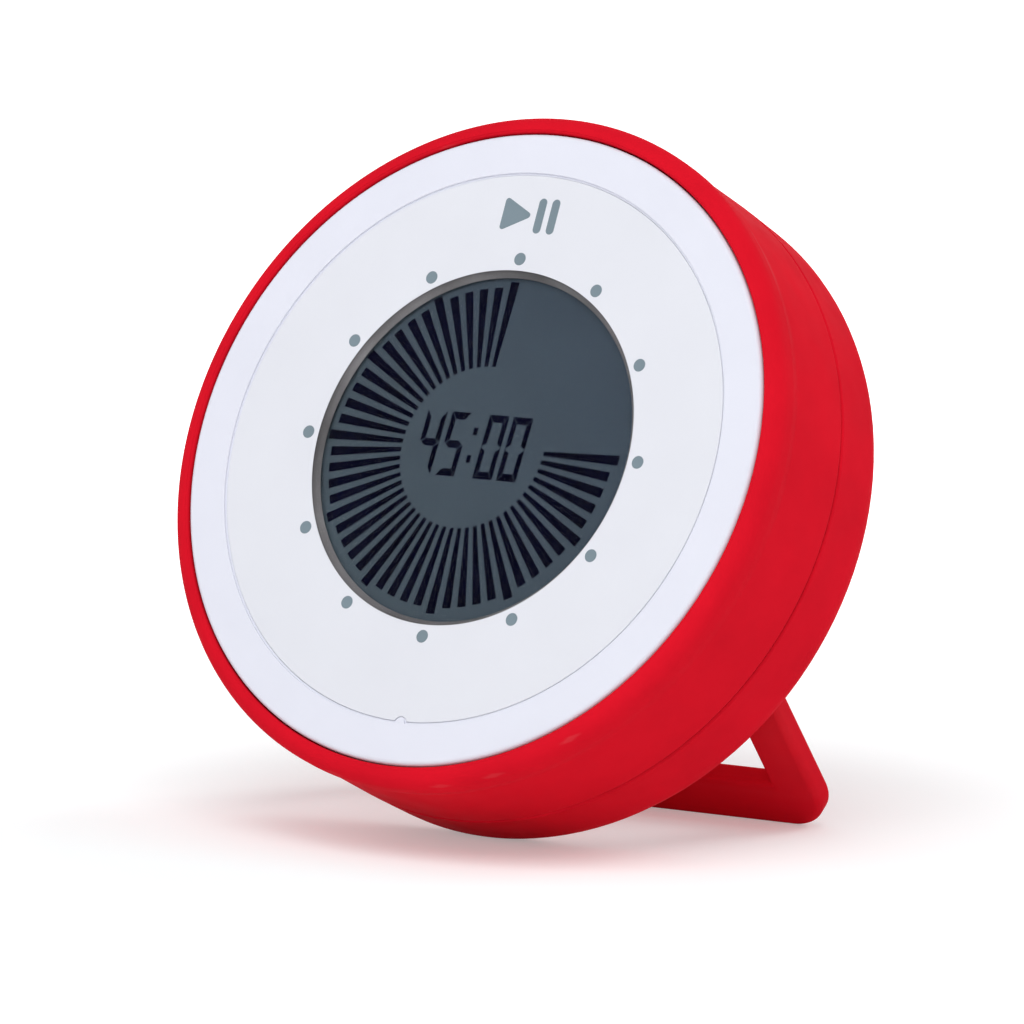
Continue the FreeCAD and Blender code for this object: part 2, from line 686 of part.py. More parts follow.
def make_stand():
    length = stand_length()
    half_t = STAND_THICK / 2
    inner_x = STAND_HALF - LEG_WIDTH
    body = block(-STAND_HALF, STAND_HALF, 0, length, -half_t, half_t)
    corners = [e for e in body.Edges if abs(e.CenterOfMass.y - length) < 0.01 and abs(e.CenterOfMass.z) < 0.01]
    body = body.makeFillet(STAND_CORNER, corners)
    body = body.cut(block(-inner_x, inner_x, -1, length - BAR_WIDTH, -5, 5))
    flat = [e for e in body.Edges if abs(abs(e.CenterOfMass.z) - half_t) < 0.01 and e.CenterOfMass.y > 0.1]
    body = body.makeFillet(STAND_EDGE, flat)
    knuckles = [rod(half_t, inner_x, STAND_HALF, 0, 0), rod(half_t, -STAND_HALF, -inner_x, 0, 0)]
    body = joined([body, *knuckles]).cut(rod(PIN_R + 0.06, -60, 60, 0, 0))
    body.Placement = Placement(Vector(0, *hinge_place()), Rotation(Vector(1, 0, 0), -STAND_ANGLE))
    return body


def build():
    low_cell_y = CELL_TOP_Y - CELL_PITCH
    middle_y = CELL_TOP_Y - CELL_PITCH / 2
    nodes = {
        "twist_ring": make_twist_ring(),
        "ring_gear": make_ring_gear(),
        "front_bezel": make_front_bezel(),
        "chassis": make_chassis(),
        "face_plate": make_face_plate(),
        "window_trim": make_window_trim(),
        "window_lens": make_window_lens(),
        "lcd_panel": make_lcd_panel(),
        "lcd_frame": make_lcd_frame(),
        "zebra_strip_upper": make_zebra_strip(1),
        "zebra_strip_lower": make_zebra_strip(-1),
        "main_board": make_main_board(),
        "controller_chip": make_chip(),
        "tact_switch": make_tact_switch(),
        "switch_plunger": make_switch_plunger(),
        "drive_pinion": make_drive_pinion(),
        "encoder_shaft": make_encoder_shaft(),
        "encoder_body": make_encoder_body(),
        "rear_case": make_rear_case(),
        "speaker": make_speaker(),
        "volume_knob": make_volume_knob(),
        "volume_switch": make_volume_switch(),
        "volume_board": make_volume_board(),
        "back_magnets": make_magnets(),
        "aaa_cell_upper": make_cell(CELL_TOP_Y, 1),
        "aaa_cell_lower": make_cell(low_cell_y, -1),
        "contact_plate_right": make_contact(1, BAY_LOW_Y + 0.3, BAY_TOP_Y - 0.3),
        "contact_plate_left_upper": make_contact(-1, middle_y + 0.6, BAY_TOP_Y - 0.3),
        "contact_plate_left_lower": make_contact(-1, BAY_LOW_Y + 0.3, middle_y - 0.6),
        "battery_door": make_battery_door(),
        "door_screw": make_screws([(0, DOOR_SCREW_Y)], BACK_Z + 0.8, 1.8, 0.8, 0.8, 4.6, 1),
        "hinge_pins": make_hinge_pins(),
        "case_screws": make_screws(CASE_SCREWS, BACK_Z + CASE_SINK, CASE_HEAD_R, 1.7, CASE_SHANK_R, CASE_SHANK, 1),
        "board_screws": make_screws(board_screw_places(), BOARD_TOP, 1.7, 1.1, SMALL_SHANK_R, 6.0, -1),
        "frame_screws": make_screws(frame_screw_places(), BOARD_UNDER, 1.6, 1.0, SMALL_SHANK_R, 4.4, 1),
    }
    nodes = {name: place(shape) for name, shape in nodes.items()}
    nodes["stand"] = make_stand()
    return nodes


os.makedirs("parts", exist_ok=True)
for node_name, node_shape in build().items():
    node_shape.exportStep(f"parts/{node_name}.step")
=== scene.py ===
"""Looks of the visual countdown timer, in the frame that its construction is packed in.

Most shapes are laid out in the face frame in millimetres: X right, Y up along the dial and
Z out of it, with zero at the middle of the dial's surface. FACE carries them into the
standing frame in metres.
"""
import bpy
import bmesh
import math
from mathutils import Matrix, Vector


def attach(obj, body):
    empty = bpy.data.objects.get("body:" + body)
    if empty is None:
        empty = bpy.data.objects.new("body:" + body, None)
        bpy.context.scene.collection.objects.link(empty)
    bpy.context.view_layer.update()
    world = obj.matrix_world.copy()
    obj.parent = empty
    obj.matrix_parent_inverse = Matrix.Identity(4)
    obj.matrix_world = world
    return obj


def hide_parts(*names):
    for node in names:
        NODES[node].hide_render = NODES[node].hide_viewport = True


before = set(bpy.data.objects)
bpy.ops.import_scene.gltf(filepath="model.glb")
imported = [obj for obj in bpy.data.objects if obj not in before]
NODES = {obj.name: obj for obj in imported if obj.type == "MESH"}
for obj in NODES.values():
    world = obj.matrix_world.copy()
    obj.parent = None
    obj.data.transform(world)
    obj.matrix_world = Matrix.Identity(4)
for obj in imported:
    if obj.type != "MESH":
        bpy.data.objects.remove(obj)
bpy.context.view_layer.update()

# Stance of the dial: how far it leans back, and where its middle stands
LEAN = math.radians(25.46)
SETBACK = -12.288
HEIGHT = 50.817
METRES = 0.001
FACE = (
    Matrix.Scale(METRES, 4)
    @ Matrix.Translation((0, SETBACK, HEIGHT))
    @ Matrix.Rotation(math.pi / 2 - LEAN, 4, "X")
)

# Radii and heights that several pieces share, the same as in the construction
LIP_R = 45.0
LIP_INNER_R = 42.5
BEZEL_R = 42.3
PLATE_R = 36.65
BEZEL_INNER_R = PLATE_R + 0.3
WINDOW_R = 23.8
PLATE_UNDER = -1.0
BACK_Z = -28.7

# How round shapes are divided, the radius that stands for their axis, and the angles in degrees
# above which an edge stays sharp
SEGMENTS = 288
AXIS_R = 0.0001
SHARP_SCENE = 32
SHARP_CAD = 28


# Mesh helpers

FLAT_ANGLE = 0.01
CREASE_ANGLE = 0.5
NEAR = 1e-5


def arc(cx, cy, r, start, end, steps):
    """Points along an arc, angles in degrees."""
    out = []
    for i in range(steps + 1):
        a = math.radians(start + (end - start) * i / steps)
        out.append((cx + r * math.cos(a), cy + r * math.sin(a)))
    return out


def circle(cx, cy, r, count):
    """Points round a whole circle."""
    return arc(cx, cy, r, 0, 360 - 360 / count, count - 1)


def smooth(obj, sharp):
    """Smooth shading up to an angle, with broad flats kept flat where they meet small rounds."""
    obj.data.polygons.foreach_set("use_smooth", [True] * len(obj.data.polygons))
    obj.data.set_sharp_from_angle(angle=math.radians(sharp))
    step = obj.modifiers.new("weighted", "WEIGHTED_NORMAL")
    step.keep_sharp = True


def finish_mesh(name, bm, matrix):
    bmesh.ops.recalc_face_normals(bm, faces=bm.faces)
    mesh = bpy.data.meshes.new(name)
    bm.to_mesh(mesh)
    bm.free()
    mesh.transform(matrix)
    obj = bpy.data.objects.new(name, mesh)
    bpy.context.scene.collection.objects.link(obj)
    smooth(obj, SHARP_SCENE)
    return obj


def add_lathe(bm, profile, reach=None, y=0.0, segments=SEGMENTS):
    """A closed profile of (radius, height, pull) points turned about an axis at (0, y).

    reach, if given, is a list of (angle, shrink) steps; a radius loses shrink times its pull.
    """
    steps = reach or [(2 * math.pi * i / segments, 0.0) for i in range(segments)]
    rings = []
    for angle, shrink in steps:
        c, s = math.cos(angle), math.sin(angle)
        ring = []
        for r, z, pull in profile:
            reached = r - shrink * pull
            ring.append(bm.verts.new((reached * c, y + reached * s, z)))
        rings.append(ring)
    count = len(profile)
    for i, ring in enumerate(rings):
        following = rings[(i + 1) % len(rings)]
        for j in range(count):
            k = (j + 1) % count
            bm.faces.new((ring[j], following[j], following[k], ring[k]))


def unpulled(profile):
    """A profile of (radius, height) points that no step draws in."""
    return [(r, z, 0.0) for r, z in profile]


def lathe(name, profile):
    bm = bmesh.new()
    add_lathe(bm, unpulled(profile))
    return finish_mesh(name, bm, FACE)


def faces_among(geometry):
    return [g for g in geometry if isinstance(g, bmesh.types.BMFace)]


def add_prism(bm, outline, z_low, z_high, holes=()):
    """A closed outline, with or without holes, as a slab between two heights."""
    edges = []
    for loop in (outline, *holes):
        ring = [bm.verts.new((x, y, z_low)) for x, y in loop]
        edges += [bm.edges.new((ring[i], ring[(i + 1) % len(ring)])) for i in range(len(ring))]
    filled = bmesh.ops.triangle_fill(bm, use_beauty=True, use_dissolve=False, edges=edges)
    inside = list(dict.fromkeys(e for f in faces_among(filled["geom"]) for e in f.edges))
    merged = bmesh.ops.dissolve_limit(bm, angle_limit=FLAT_ANGLE, verts=[], edges=inside)
    base = faces_among(merged["region"])
    grown = bmesh.ops.extrude_face_region(bm, geom=base, use_keep_orig=True)
    moved = [g for g in grown["geom"] if isinstance(g, bmesh.types.BMVert)]
    bmesh.ops.translate(bm, vec=(0, 0, z_high - z_low), verts=moved)


def prisms(name, outlines, z_low, z_high):
    bm = bmesh.new()
    for outline in outlines:
        add_prism(bm, outline, z_low, z_high)
    return finish_mesh(name, bm, FACE)


def round_creases(bm, size, segments, wanted):
    """Rounds the bent edges whose two ends pass a test."""
    bmesh.ops.recalc_face_normals(bm, faces=bm.faces)
    rim = [
        e for e in bm.edges
        if e.calc_face_angle(0) > CREASE_ANGLE and wanted(e.verts[0].co, e.verts[1].co)
    ]
    bmesh.ops.bevel(bm, geom=rim, offset=size, segments=segments, profile=0.5, affect="EDGES")


def round_corners(points, radius, steps=6):
    """A polygon with each corner rounded by the same radius."""
    out = []
    count = len(points)
    for i, point in enumerate(points):
        here = Vector(point)
        to_last = (Vector(points[i - 1]) - here).normalized()
        to_next = (Vector(points[(i + 1) % count]) - here).normalized()
        half = to_last.angle(to_next) / 2
        middle = here + (to_last + to_next).normalized() * (radius / math.sin(half))
        start = here + to_last * (radius / math.tan(half)) - middle
        end = here + to_next * (radius / math.tan(half)) - middle
        turn = start.angle_signed(end)
        for k in range(steps + 1):
            a = -turn * k / steps
            c, s = math.cos(a), math.sin(a)
            out.append((middle.x + start.x * c - start.y * s, middle.y + start.x * s + start.y * c))
    return out


# Material helpers, with sizes in metres

MOTTLE_SIZE = 0.011
SMUDGE_SIZE = 0.004
GRAIN_SIZE = 0.0003
GRAIN_DEPTH = 0.000012
WORN_FROM = 0.52
WORN_TO = 0.62
RUBBED_SHARE = 0.2
RUBBED_LEAST = 0.35

# Sockets of the colour mix node
MIX_FIRST = 6
MIX_SECOND = 7
MIX_RESULT = 2


def node(tree, kind, **values):
    made = tree.nodes.new(kind)
    for key, value in values.items():
        setattr(made, key, value)
    return made


def scaled_noise(tree, coords, size, detail, stretch=(1, 1, 1)):
    """Noise whose features are about size metres across."""
    mapping = node(tree, "ShaderNodeMapping")
    mapping.inputs["Scale"].default_value = stretch
    tree.links.new(coords.outputs["Object"], mapping.inputs["Vector"])
    noise = node(tree, "ShaderNodeTexNoise")
    noise.inputs["Scale"].default_value = 1.0 / size
    noise.inputs["Detail"].default_value = detail
    tree.links.new(mapping.outputs["Vector"], noise.inputs["Vector"])
    return noise


def ranged(tree, source, low, high, to_low, to_high):
    step = node(tree, "ShaderNodeMapRange")
    step.inputs["From Min"].default_value = low
    step.inputs["From Max"].default_value = high
    step.inputs["To Min"].default_value = to_low
    step.inputs["To Max"].default_value = to_high
    tree.links.new(source, step.inputs["Value"])
    return step.outputs["Result"]


def combined(tree, operation, first, second):
    step = node(tree, "ShaderNodeMath", operation=operation)
    tree.links.new(first, step.inputs[0])
    tree.links.new(second, step.inputs[1])
    return step.outputs[0]


def blended(tree, factor, first, second):
    """A mix of two colours, each given as numbers or as a socket."""
    mix = node(tree, "ShaderNodeMix", data_type="RGBA")
    tree.links.new(factor, mix.inputs["Factor"])
    for socket, value in ((mix.inputs[MIX_FIRST], first), (mix.inputs[MIX_SECOND], second)):
        if isinstance(value, tuple):
            socket.default_value = (*value, 1)
        else:
            tree.links.new(value, socket)
    return mix.outputs[MIX_RESULT]


def moulded(
    name, colour, rough=0.45, spread=0.06, grain=GRAIN_SIZE, bump=0.35, shade=0.06, wear=0.25,
    metal=0.0, clear=0.0, ior=1.5, stretch=(1, 1, 1),
):
    """Plastic or metal with mottled colour, uneven gloss, fine grain and lightly rubbed edges."""
    material = bpy.data.materials.new(name)
    material.use_nodes = True
    tree = material.node_tree
    shader = tree.nodes["Principled BSDF"]
    coords = node(tree, "ShaderNodeTexCoord")
    broad = scaled_noise(tree, coords, MOTTLE_SIZE, 4.0)
    fine = scaled_noise(tree, coords, grain, 2.0, stretch)
    smudge = scaled_noise(tree, coords, SMUDGE_SIZE, 5.0, stretch)

    dark = tuple(c * (1 - shade) for c in colour)
    light = tuple(min(1.0, c * (1 + shade)) for c in colour)
    body = blended(tree, ranged(tree, broad.outputs[0], 0.3, 0.7, 0, 1), dark, light)
    geometry = node(tree, "ShaderNodeNewGeometry")
    edge = ranged(tree, geometry.outputs["Pointiness"], WORN_FROM, WORN_TO, 0, wear)
    patchy = combined(tree, "MULTIPLY", edge, smudge.outputs[0])
    pale = RUBBED_SHARE * max(RUBBED_LEAST, max(colour))
    rubbed = tuple(c * (1 - RUBBED_SHARE) + pale for c in colour)
    tree.links.new(blended(tree, patchy, body, rubbed), shader.inputs["Base Color"])

    gloss = ranged(tree, smudge.outputs[0], 0.25, 0.75, rough - spread, rough + spread)
    tree.links.new(gloss, shader.inputs["Roughness"])
    relief = node(tree, "ShaderNodeBump")
    relief.inputs["Strength"].default_value = bump
    relief.inputs["Distance"].default_value = GRAIN_DEPTH
    tree.links.new(fine.outputs[0], relief.inputs["Height"])
    tree.links.new(relief.outputs["Normal"], shader.inputs["Normal"])
    shader.inputs["Metallic"].default_value = metal
    shader.inputs["Transmission Weight"].default_value = clear
    shader.inputs["IOR"].default_value = ior
    return material


# Materials of the outside

red_shell = moulded("red_shell", (0.655, 0.0075, 0.020), rough=0.55, ior=1.05, wear=0.22)
red_stand = moulded("red_stand", (0.64, 0.0075, 0.019), rough=0.58, ior=1.05, grain=0.00035)
red_back = moulded(
    "red_back", (0.64, 0.0075, 0.020),
    rough=0.56, ior=1.05, bump=0.5, grain=0.0004, wear=0.0, shade=0.08,
)
white_ring = moulded("white_ring", (0.72, 0.73, 0.81), ior=1.25, shade=0.012, wear=0.1)
white_face = moulded(
    "white_face", (0.705, 0.715, 0.765), rough=0.4, ior=1.25, shade=0.01, wear=0.1, grain=0.0004,
)
dark_trim = moulded("dark_trim", (0.135, 0.130, 0.134), rough=0.36, wear=0.0, ior=1.2, shade=0.3)
clear_window = moulded(
    "clear_window", (0.96, 0.97, 0.98),
    rough=0.006, spread=0.006, clear=1.0, ior=1.06, bump=0.01, shade=0.01, wear=0.0,
)
print_ink = moulded(
    "print_ink", (0.150, 0.205, 0.240), rough=0.5, shade=0.05, grain=0.00015, wear=0.0,
)
magnet_plate = moulded(
    "magnet_plate", (0.62, 0.62, 0.64), rough=0.18, metal=1.0, grain=0.0006, shade=0.08,
)

# Materials of the inside

grey_plastic = moulded("grey_plastic", (0.42, 0.43, 0.45), rough=0.5)
gear_plastic = moulded("gear_plastic", (0.78, 0.77, 0.72), rough=0.38, shade=0.03)
black_component = moulded("black_component", (0.02, 0.02, 0.022), rough=0.5, shade=0.2, wear=0.6)
circuit_board = moulded("circuit_board", (0.03, 0.20, 0.10), rough=0.35, shade=0.2, grain=0.0008)
elastomer = moulded("elastomer", (0.25, 0.27, 0.30), rough=0.7, grain=0.0001, stretch=(1, 12, 1))
cell_sleeve = moulded("cell_sleeve", (0.05, 0.05, 0.06), rough=0.25, shade=0.3)
steel = moulded(
    "steel", (0.55, 0.55, 0.57), rough=0.3, metal=1.0, grain=0.0002, stretch=(1, 14, 1), shade=0.1,
)
lcd_ink = moulded(
    "lcd_ink", (0.0010, 0.0011, 0.0065), rough=0.55, ior=1.04, shade=0.25, grain=0.0002, wear=0.0,
)


def display_material():
    """Liquid crystal display: slate with a faint pixel grain, with painted shade from the window's wall that
    makes it bluer and dimmer to the upper right.
    """
    material = moulded(
        "display_glass", (0.048, 0.065, 0.078), ior=1.15, shade=0.05, grain=0.00012, wear=0.0,
    )
    tree = material.node_tree
    shader = tree.nodes["Principled BSDF"]
    body = shader.inputs["Base Color"].links[0].from_socket
    coords = next(n for n in tree.nodes if n.type == "TEX_COORD")
    parts = node(tree, "ShaderNodeSeparateXYZ")
    tree.links.new(coords.outputs["Object"], parts.inputs[0])
    # Painted shadow of the window's wall: the colour dims and turns bluer towards the upper right
    across = ranged(tree, parts.outputs["X"], -0.024, 0.026, 0, 0.55)
    upward = ranged(tree, parts.outputs["Z"], 0.035, 0.075, 0, 0.45)
    wall_shadow_share = combined(tree, "ADD", across, upward)
    wall_shadowed = blended(tree, wall_shadow_share, body, (0.030, 0.042, 0.060))
    tree.links.new(wall_shadowed, shader.inputs["Base Color"])
    return material


display_glass = display_material()


# Materials of the pieces that come from the construction

CAD_LOOKS = {
    "twist_ring": red_shell,
    "rear_case": red_back,
    "battery_door": red_back,
    "stand": red_stand,
    "front_bezel": white_ring,
    "face_plate": white_face,
    "window_trim": dark_trim,
    "window_lens": clear_window,
    "back_magnets": magnet_plate,
    "chassis": grey_plastic,
    "lcd_frame": grey_plastic,
    "volume_knob": grey_plastic,
    "ring_gear": gear_plastic,
    "drive_pinion": gear_plastic,
    "lcd_panel": display_glass,
    "zebra_strip_upper": elastomer,
    "zebra_strip_lower": elastomer,
    "main_board": circuit_board,
    "volume_board": circuit_board,
    "controller_chip": black_component,
    "tact_switch": black_component,
    "switch_plunger": black_component,
    "encoder_body": black_component,
    "speaker": black_component,
    "volume_switch": black_component,
    "aaa_cell_upper": cell_sleeve,
    "aaa_cell_lower": cell_sleeve,
    "contact_plate_right": steel,
    "contact_plate_left_upper": steel,
    "contact_plate_left_lower": steel,
    "encoder_shaft": steel,
    "hinge_pins": steel,
    "door_screw": steel,
    "case_screws": steel,
    "board_screws": steel,
    "frame_screws": steel,
}

for node_name, cad_object in NODES.items():
    cad_object.data.materials.clear()
    cad_object.data.materials.append(CAD_LOOKS[node_name])
    smooth(cad_object, SHARP_CAD)


def dress(obj, material, body, slot, *replaced):
    """Gives a piece its material, the body it rides on and the nodes it replaces; the slot is not used."""
    obj.data.materials.append(material)
    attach(obj, body)
    if replaced:
        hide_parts(*replaced)
    return obj


# Twist ring
LIP_TOP = 0.25
LIP_ROUND = 2.2
LIP_INNER_ROUND = 0.5
GEAR_SEAT_R = 42.2
RING_WALL_R = 41.4
DRUM_FIT_R = 39.98
GEAR_TOP = -10.4
LAND_LOW = -4.2
LAND_TOP = -2.2
RING_LOW = -16.35

# The wall draws in below the lip, and rounds off at its foot
WAIST = [(45.0, -3.0), (44.97, -3.25), (44.9, -3.6), (44.74, -4.35), (44.69, -4.75), (44.68, -5.2)]
FOOT = [(44.605, -15.9), (44.58, -16.15), (44.5, -16.3), (44.35, RING_LOW)]


def ring_profile():
    outer = arc(LIP_R - LIP_ROUND, LIP_TOP - LIP_ROUND, LIP_ROUND, 90, 0, 18)
    inner = arc(LIP_INNER_R + LIP_INNER_ROUND, LIP_TOP - LIP_INNER_ROUND, LIP_INNER_ROUND, 180, 90, 8)
    inside = [
        (GEAR_SEAT_R, RING_LOW), (GEAR_SEAT_R, GEAR_TOP), (RING_WALL_R, GEAR_TOP),
        (RING_WALL_R, LAND_LOW), (DRUM_FIT_R, LAND_LOW), (DRUM_FIT_R, LAND_TOP), (LIP_INNER_R, LAND_TOP),
    ]
    return outer + WAIST + FOOT + inside + inner


dress(lathe("twist_ring_skin", ring_profile()), red_shell, "twist_ring", "red_shell", "twist_ring")


# White ring with its key
BEZEL_TOP = 0.15
BEZEL_LOW = -1.9
BEZEL_ROUND = 0.6
BEZEL_INNER_ROUND = 0.07
KEY_R = 0.7
KEY_TOP = 0.05
KEY_SINK = 0.02
KEY_ROOT = 0.5

# Fillers that keep the groove round the disc as pale as in the photograph
FILLER_R = PLATE_R + 0.04
FILLER_LOW = -1.3
FILLER_TOP = -0.14
UNDER_KEY_R = 0.9
UNDER_KEY_HALF = 0.88
UNDER_KEY_ROOT = 0.4
UNDER_KEY_TOP = -0.15


def make_bezel():
    outer = arc(BEZEL_R - BEZEL_ROUND, BEZEL_TOP - BEZEL_ROUND, BEZEL_ROUND, 90, 0, 8)
    foot = [(BEZEL_R, BEZEL_LOW), (BEZEL_INNER_R, BEZEL_LOW)]
    shelf = [
        (BEZEL_INNER_R, FILLER_LOW), (FILLER_R, FILLER_LOW),
        (FILLER_R, FILLER_TOP), (BEZEL_INNER_R, FILLER_TOP),
    ]
    r = BEZEL_INNER_ROUND
    edge = arc(BEZEL_INNER_R + r, BEZEL_TOP - r, r, 180, 90, 4)
    bm = bmesh.new()
    add_lathe(bm, unpulled(outer + foot + shelf + edge))

    key = arc(0, -BEZEL_INNER_R - KEY_SINK, KEY_R, 0, 180, 24)
    key += [(-KEY_R, -BEZEL_INNER_R - KEY_ROOT), (KEY_R, -BEZEL_INNER_R - KEY_ROOT)]
    add_prism(bm, key, BEZEL_LOW, KEY_TOP)
    under = arc(0, -BEZEL_INNER_R, UNDER_KEY_R, 6, 174, 24)
    root_y = -BEZEL_INNER_R - UNDER_KEY_ROOT
    under += [(-UNDER_KEY_HALF, root_y), (UNDER_KEY_HALF, root_y)]
    add_prism(bm, under, FILLER_LOW, UNDER_KEY_TOP)
    return finish_mesh("front_bezel_ring", bm, FACE)


dress(make_bezel(), white_ring, "case", "white_ring", "front_bezel")


# Pressed disc
PLATE_ROUND = 0.12
PLATE_MIDDLE_R = 30.0
PLATE_WALL_LOW = -2.2
FLANGE_R = 37.8
FLANGE_INNER_R = 35.2
FLANGE_LOW = -3.0
PUSHER_Y = 31.0
PUSHER_R = 2.0
PUSHER_LOW = -1.75
PUSHER_TOP = -0.9
PUSHER_SEGMENTS = 48

# The notch for the key, whose steps stop just short of its two ends
NOTCH_R = 0.95
NOTCH_SHARE = 0.999
NOTCH_STEPS = 24
RIM_STEPS = 240


def plate_reach():
    """Steps round the disc, whose edge draws in only at the notch for the key."""
    down = -math.pi / 2
    notch_half = math.asin(NOTCH_R / BEZEL_INNER_R) * NOTCH_SHARE
    steps = []
    for i in range(RIM_STEPS):
        off = notch_half + (2 * math.pi - 2 * notch_half) * i / RIM_STEPS
        steps.append((down + off, 0.0))
    for i in range(NOTCH_STEPS + 1):
        off = -notch_half + 2 * notch_half * i / NOTCH_STEPS
        side = BEZEL_INNER_R * math.sin(off)
        near = BEZEL_INNER_R * math.cos(off) - math.sqrt(max(0.0, NOTCH_R ** 2 - side ** 2))
        steps.append((down + off, max(0.0, PLATE_R - near)))
    return steps


def make_plate():
    edge = arc(PLATE_R - PLATE_ROUND, -PLATE_ROUND, PLATE_ROUND, 90, 0, 6)
    edge.append((PLATE_R, PLATE_WALL_LOW))
    flange = [
        (FLANGE_R, PLATE_WALL_LOW), (FLANGE_R, FLANGE_LOW), (FLANGE_INNER_R, FLANGE_LOW),
        (FLANGE_INNER_R, PLATE_UNDER), (WINDOW_R, PLATE_UNDER),
    ]
    face = unpulled([(WINDOW_R, 0.0), (PLATE_MIDDLE_R, 0.0)])
    bm = bmesh.new()
    profile = face + [(r, z, 1.0) for r, z in edge] + unpulled(flange)
    add_lathe(bm, profile, reach=plate_reach())
    pusher = [
        (AXIS_R, PUSHER_LOW), (PUSHER_R, PUSHER_LOW), (PUSHER_R, PUSHER_TOP), (AXIS_R, PUSHER_TOP),
    ]
    add_lathe(bm, unpulled(pusher), y=PUSHER_Y, segments=PUSHER_SEGMENTS)
    return finish_mesh("face_disc", bm, FACE)


dress(make_plate(), white_face, "face_button", "white_face", "face_plate")


# Window: a sloped dark wall, and the pane inside it
WALL_TOP = -0.06
PANE_TOP = -0.35
WALL = [
    (WINDOW_R, WALL_TOP), (WINDOW_R, PLATE_UNDER), (23.05, PLATE_UNDER), (23.03, -0.97),
    (23.66, -0.32), (23.74, -0.16), (23.77, WALL_TOP),
]
PANE = [
    (AXIS_R, PANE_TOP), (23.45, PANE_TOP), (23.56, -0.4), (23.54, -0.45),
    (23.05, -0.98), (23.0, PLATE_UNDER), (AXIS_R, PLATE_UNDER),
]

dress(lathe("window_wall", WALL), dark_trim, "face_button", "dark_trim", "window_trim")
dress(lathe("window_pane", PANE), clear_window, "face_button", "clear_window", "window_lens")


# Printing on the disc
INK_LOW = -0.02
INK_TOP = 0.012
SIGN_LOW = 28.87
SIGN_TOP = 33.65
SIGN_LEFT = -4.39
SIGN_POINT = 0.35
SIGN_ROUND = 0.42
BAR_LOW = 28.9
BAR_SIDES = ((0.75, 1.93), (2.76, 3.95))
DOT_COUNT = 12
DOT_RING_R = 25.35
DOT_R = 0.85


def sign_outlines():
    """The play triangle and the two pause bars."""
    corners = [
        (SIGN_LEFT, SIGN_LOW), (SIGN_POINT, (SIGN_LOW + SIGN_TOP) / 2), (SIGN_LEFT, SIGN_TOP),
    ]
    outlines = [round_corners(corners, SIGN_ROUND)]
    for low, high in BAR_SIDES:
        r = (high - low) / 2
        middle = (low + high) / 2
        top_end = arc(middle, SIGN_TOP - r, r, 0, 180, 12)
        low_end = arc(middle, BAR_LOW + r, r, 180, 360, 12)
        outlines.append(top_end + low_end)
    return outlines


def dot_outlines():
    outlines = []
    for i in range(DOT_COUNT):
        a = 2 * math.pi * i / DOT_COUNT
        outlines.append(circle(DOT_RING_R * math.cos(a), DOT_RING_R * math.sin(a), DOT_R, 48))
    return outlines


sign = prisms("play_pause_sign", sign_outlines(), INK_LOW, INK_TOP)
dress(sign, print_ink, "face_button", "dark_trim")
dots = prisms("dial_dots", dot_outlines(), INK_LOW, INK_TOP)
dress(dots, print_ink, "face_button", "dark_trim")


# Display, whose pattern lies beside the dial's middle as it shows in the photograph
DISPLAY_SHIFT = (-0.72, 0.36)
LCD_TOP = -1.6
FILM_TOP = -1.42
FILM_R = 24.86
FILM_BEVEL = 0.06
SEGMENT_LOW = FILM_TOP - 0.02
SEGMENT_TOP = FILM_TOP + 0.01

# Rays: one at each minute from 45 down to 0, and a longer one every five minutes
RAY_COUNT = 46
RAY_STEP = 6
RAY_INNER_R = 10.85
RAY_R = 21.5
LONG_RAY_R = 22.3
LONG_RAY_EVERY = 5
RAY_HALF_INNER = 1.53
RAY_HALF_OUTER = 1.695

# Digits: height, thickness of the upright and level segments, and the gap between them
DIGIT_LOW = -4.1
DIGIT_HIGH = 4.5
DIGIT_MIDDLE = 0.18
DIGIT_SIDE = 0.76
DIGIT_BAR = 1.0
DIGIT_GAP = 0.05
DIGIT_POINT = 0.25
DIGIT_SLANT = math.tan(math.radians(2.0))
SEGMENT_SETS = {"0": "abcdef", "4": "fgbc", "5": "afgcd"}
TIME = (("4", -8.3, 3.0), ("5", -4.55, 2.95), ("0", 1.2, 3.0), ("0", 4.87, 3.0))
COLON_YS = (2.1, -1.6)
COLON_HALF = 0.52
COLON_LEFT = -0.54
COLON_RIGHT = 0.1
COLON_LEAN = 0.02


def shifted(outline):
    return [(x + DISPLAY_SHIFT[0], y + DISPLAY_SHIFT[1]) for x, y in outline]


def ray_outlines():
    outlines = []
    for i in range(RAY_COUNT):
        middle = -RAY_STEP * i
        outer = LONG_RAY_R if i % LONG_RAY_EVERY == 0 else RAY_R
        near = arc(0, 0, RAY_INNER_R, middle - RAY_HALF_INNER, middle + RAY_HALF_INNER, 3)
        far = arc(0, 0, outer, middle + RAY_HALF_OUTER, middle - RAY_HALF_OUTER, 4)
        outlines.append(shifted(near + far))
    return outlines


